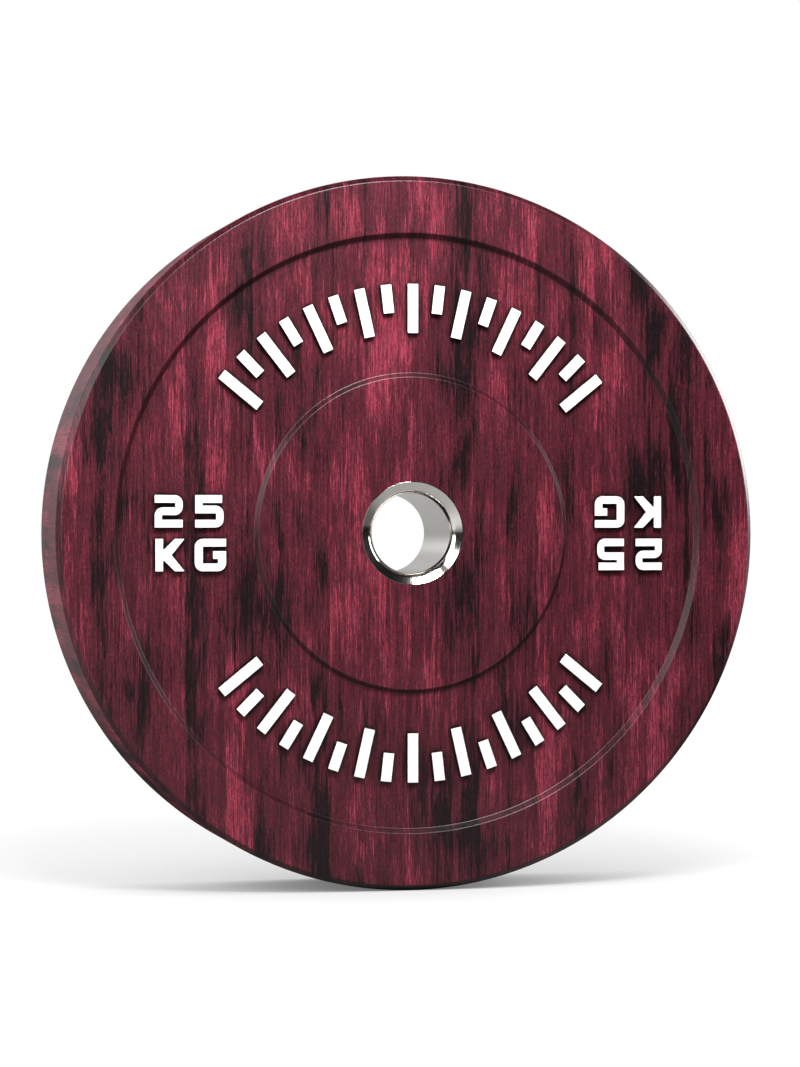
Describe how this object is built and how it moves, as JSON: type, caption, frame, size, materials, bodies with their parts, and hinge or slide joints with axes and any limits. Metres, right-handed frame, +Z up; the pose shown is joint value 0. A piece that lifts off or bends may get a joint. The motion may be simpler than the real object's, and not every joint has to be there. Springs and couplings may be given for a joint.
{
  "type": "bumper plate",
  "caption": "Round solid rubber barbell plate with bevelled rim, recessed faces, raised boss and a funnel-mouthed steel bar sleeve.",
  "frame": {"origin": "centre of the bore, in the middle of the plate's thickness", "axes": "+Y along the bore towards the rear face, +Z up with the plate standing on its rim, +X to the right as seen from the front"},
  "size_m": [0.45, 0.084, 0.45],
  "materials": {
    "wine_rubber": "moulded rubber with wine-red and charcoal streaks like wood grain, satin",
    "white_coating": "matt white coating on the tops of the raised figures and bars",
    "stainless": "polished stainless steel",
    "pressed_steel": "bare pressed steel",
    "weld_steel": "bare weld metal"
  },
  "bodies": {
    "root": {"rubber_disc": "wine_rubber", "bar_sleeve": "stainless", "anchor_plate": "pressed_steel", "weld_front": "weld_steel", "weld_rear": "weld_steel"}
  },
  "joints": []
}
